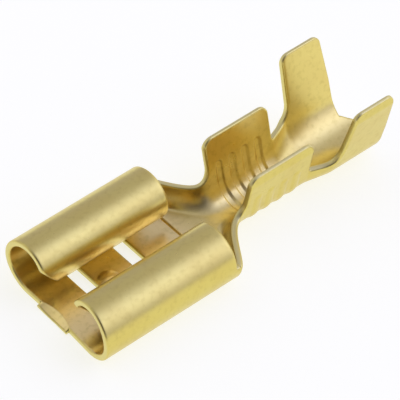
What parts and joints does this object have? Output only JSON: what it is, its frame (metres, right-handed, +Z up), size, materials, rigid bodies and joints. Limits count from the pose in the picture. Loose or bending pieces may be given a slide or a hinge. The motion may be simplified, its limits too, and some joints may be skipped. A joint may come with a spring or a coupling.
{
  "type": "crimp connector",
  "caption": "Folded brass crimp connector with a rolled receptacle for a flat blade, a narrow neck, and open barrels that crimp round a wire's strands and its insulation.",
  "frame": {"origin": "under the middle of the overall length and width, on the underside of the receptacle's floor", "axes": "+X from the blade end to the wire end, +Y across the part to the left of that, +Z up from the floor to the open side"},
  "size_m": [0.0184, 0.0074, 0.005],
  "materials": {
    "brass": "bright rolled brass strip, uncoated"
  },
  "bodies": {
    "root": {"terminal": "brass"}
  },
  "joints": []
}
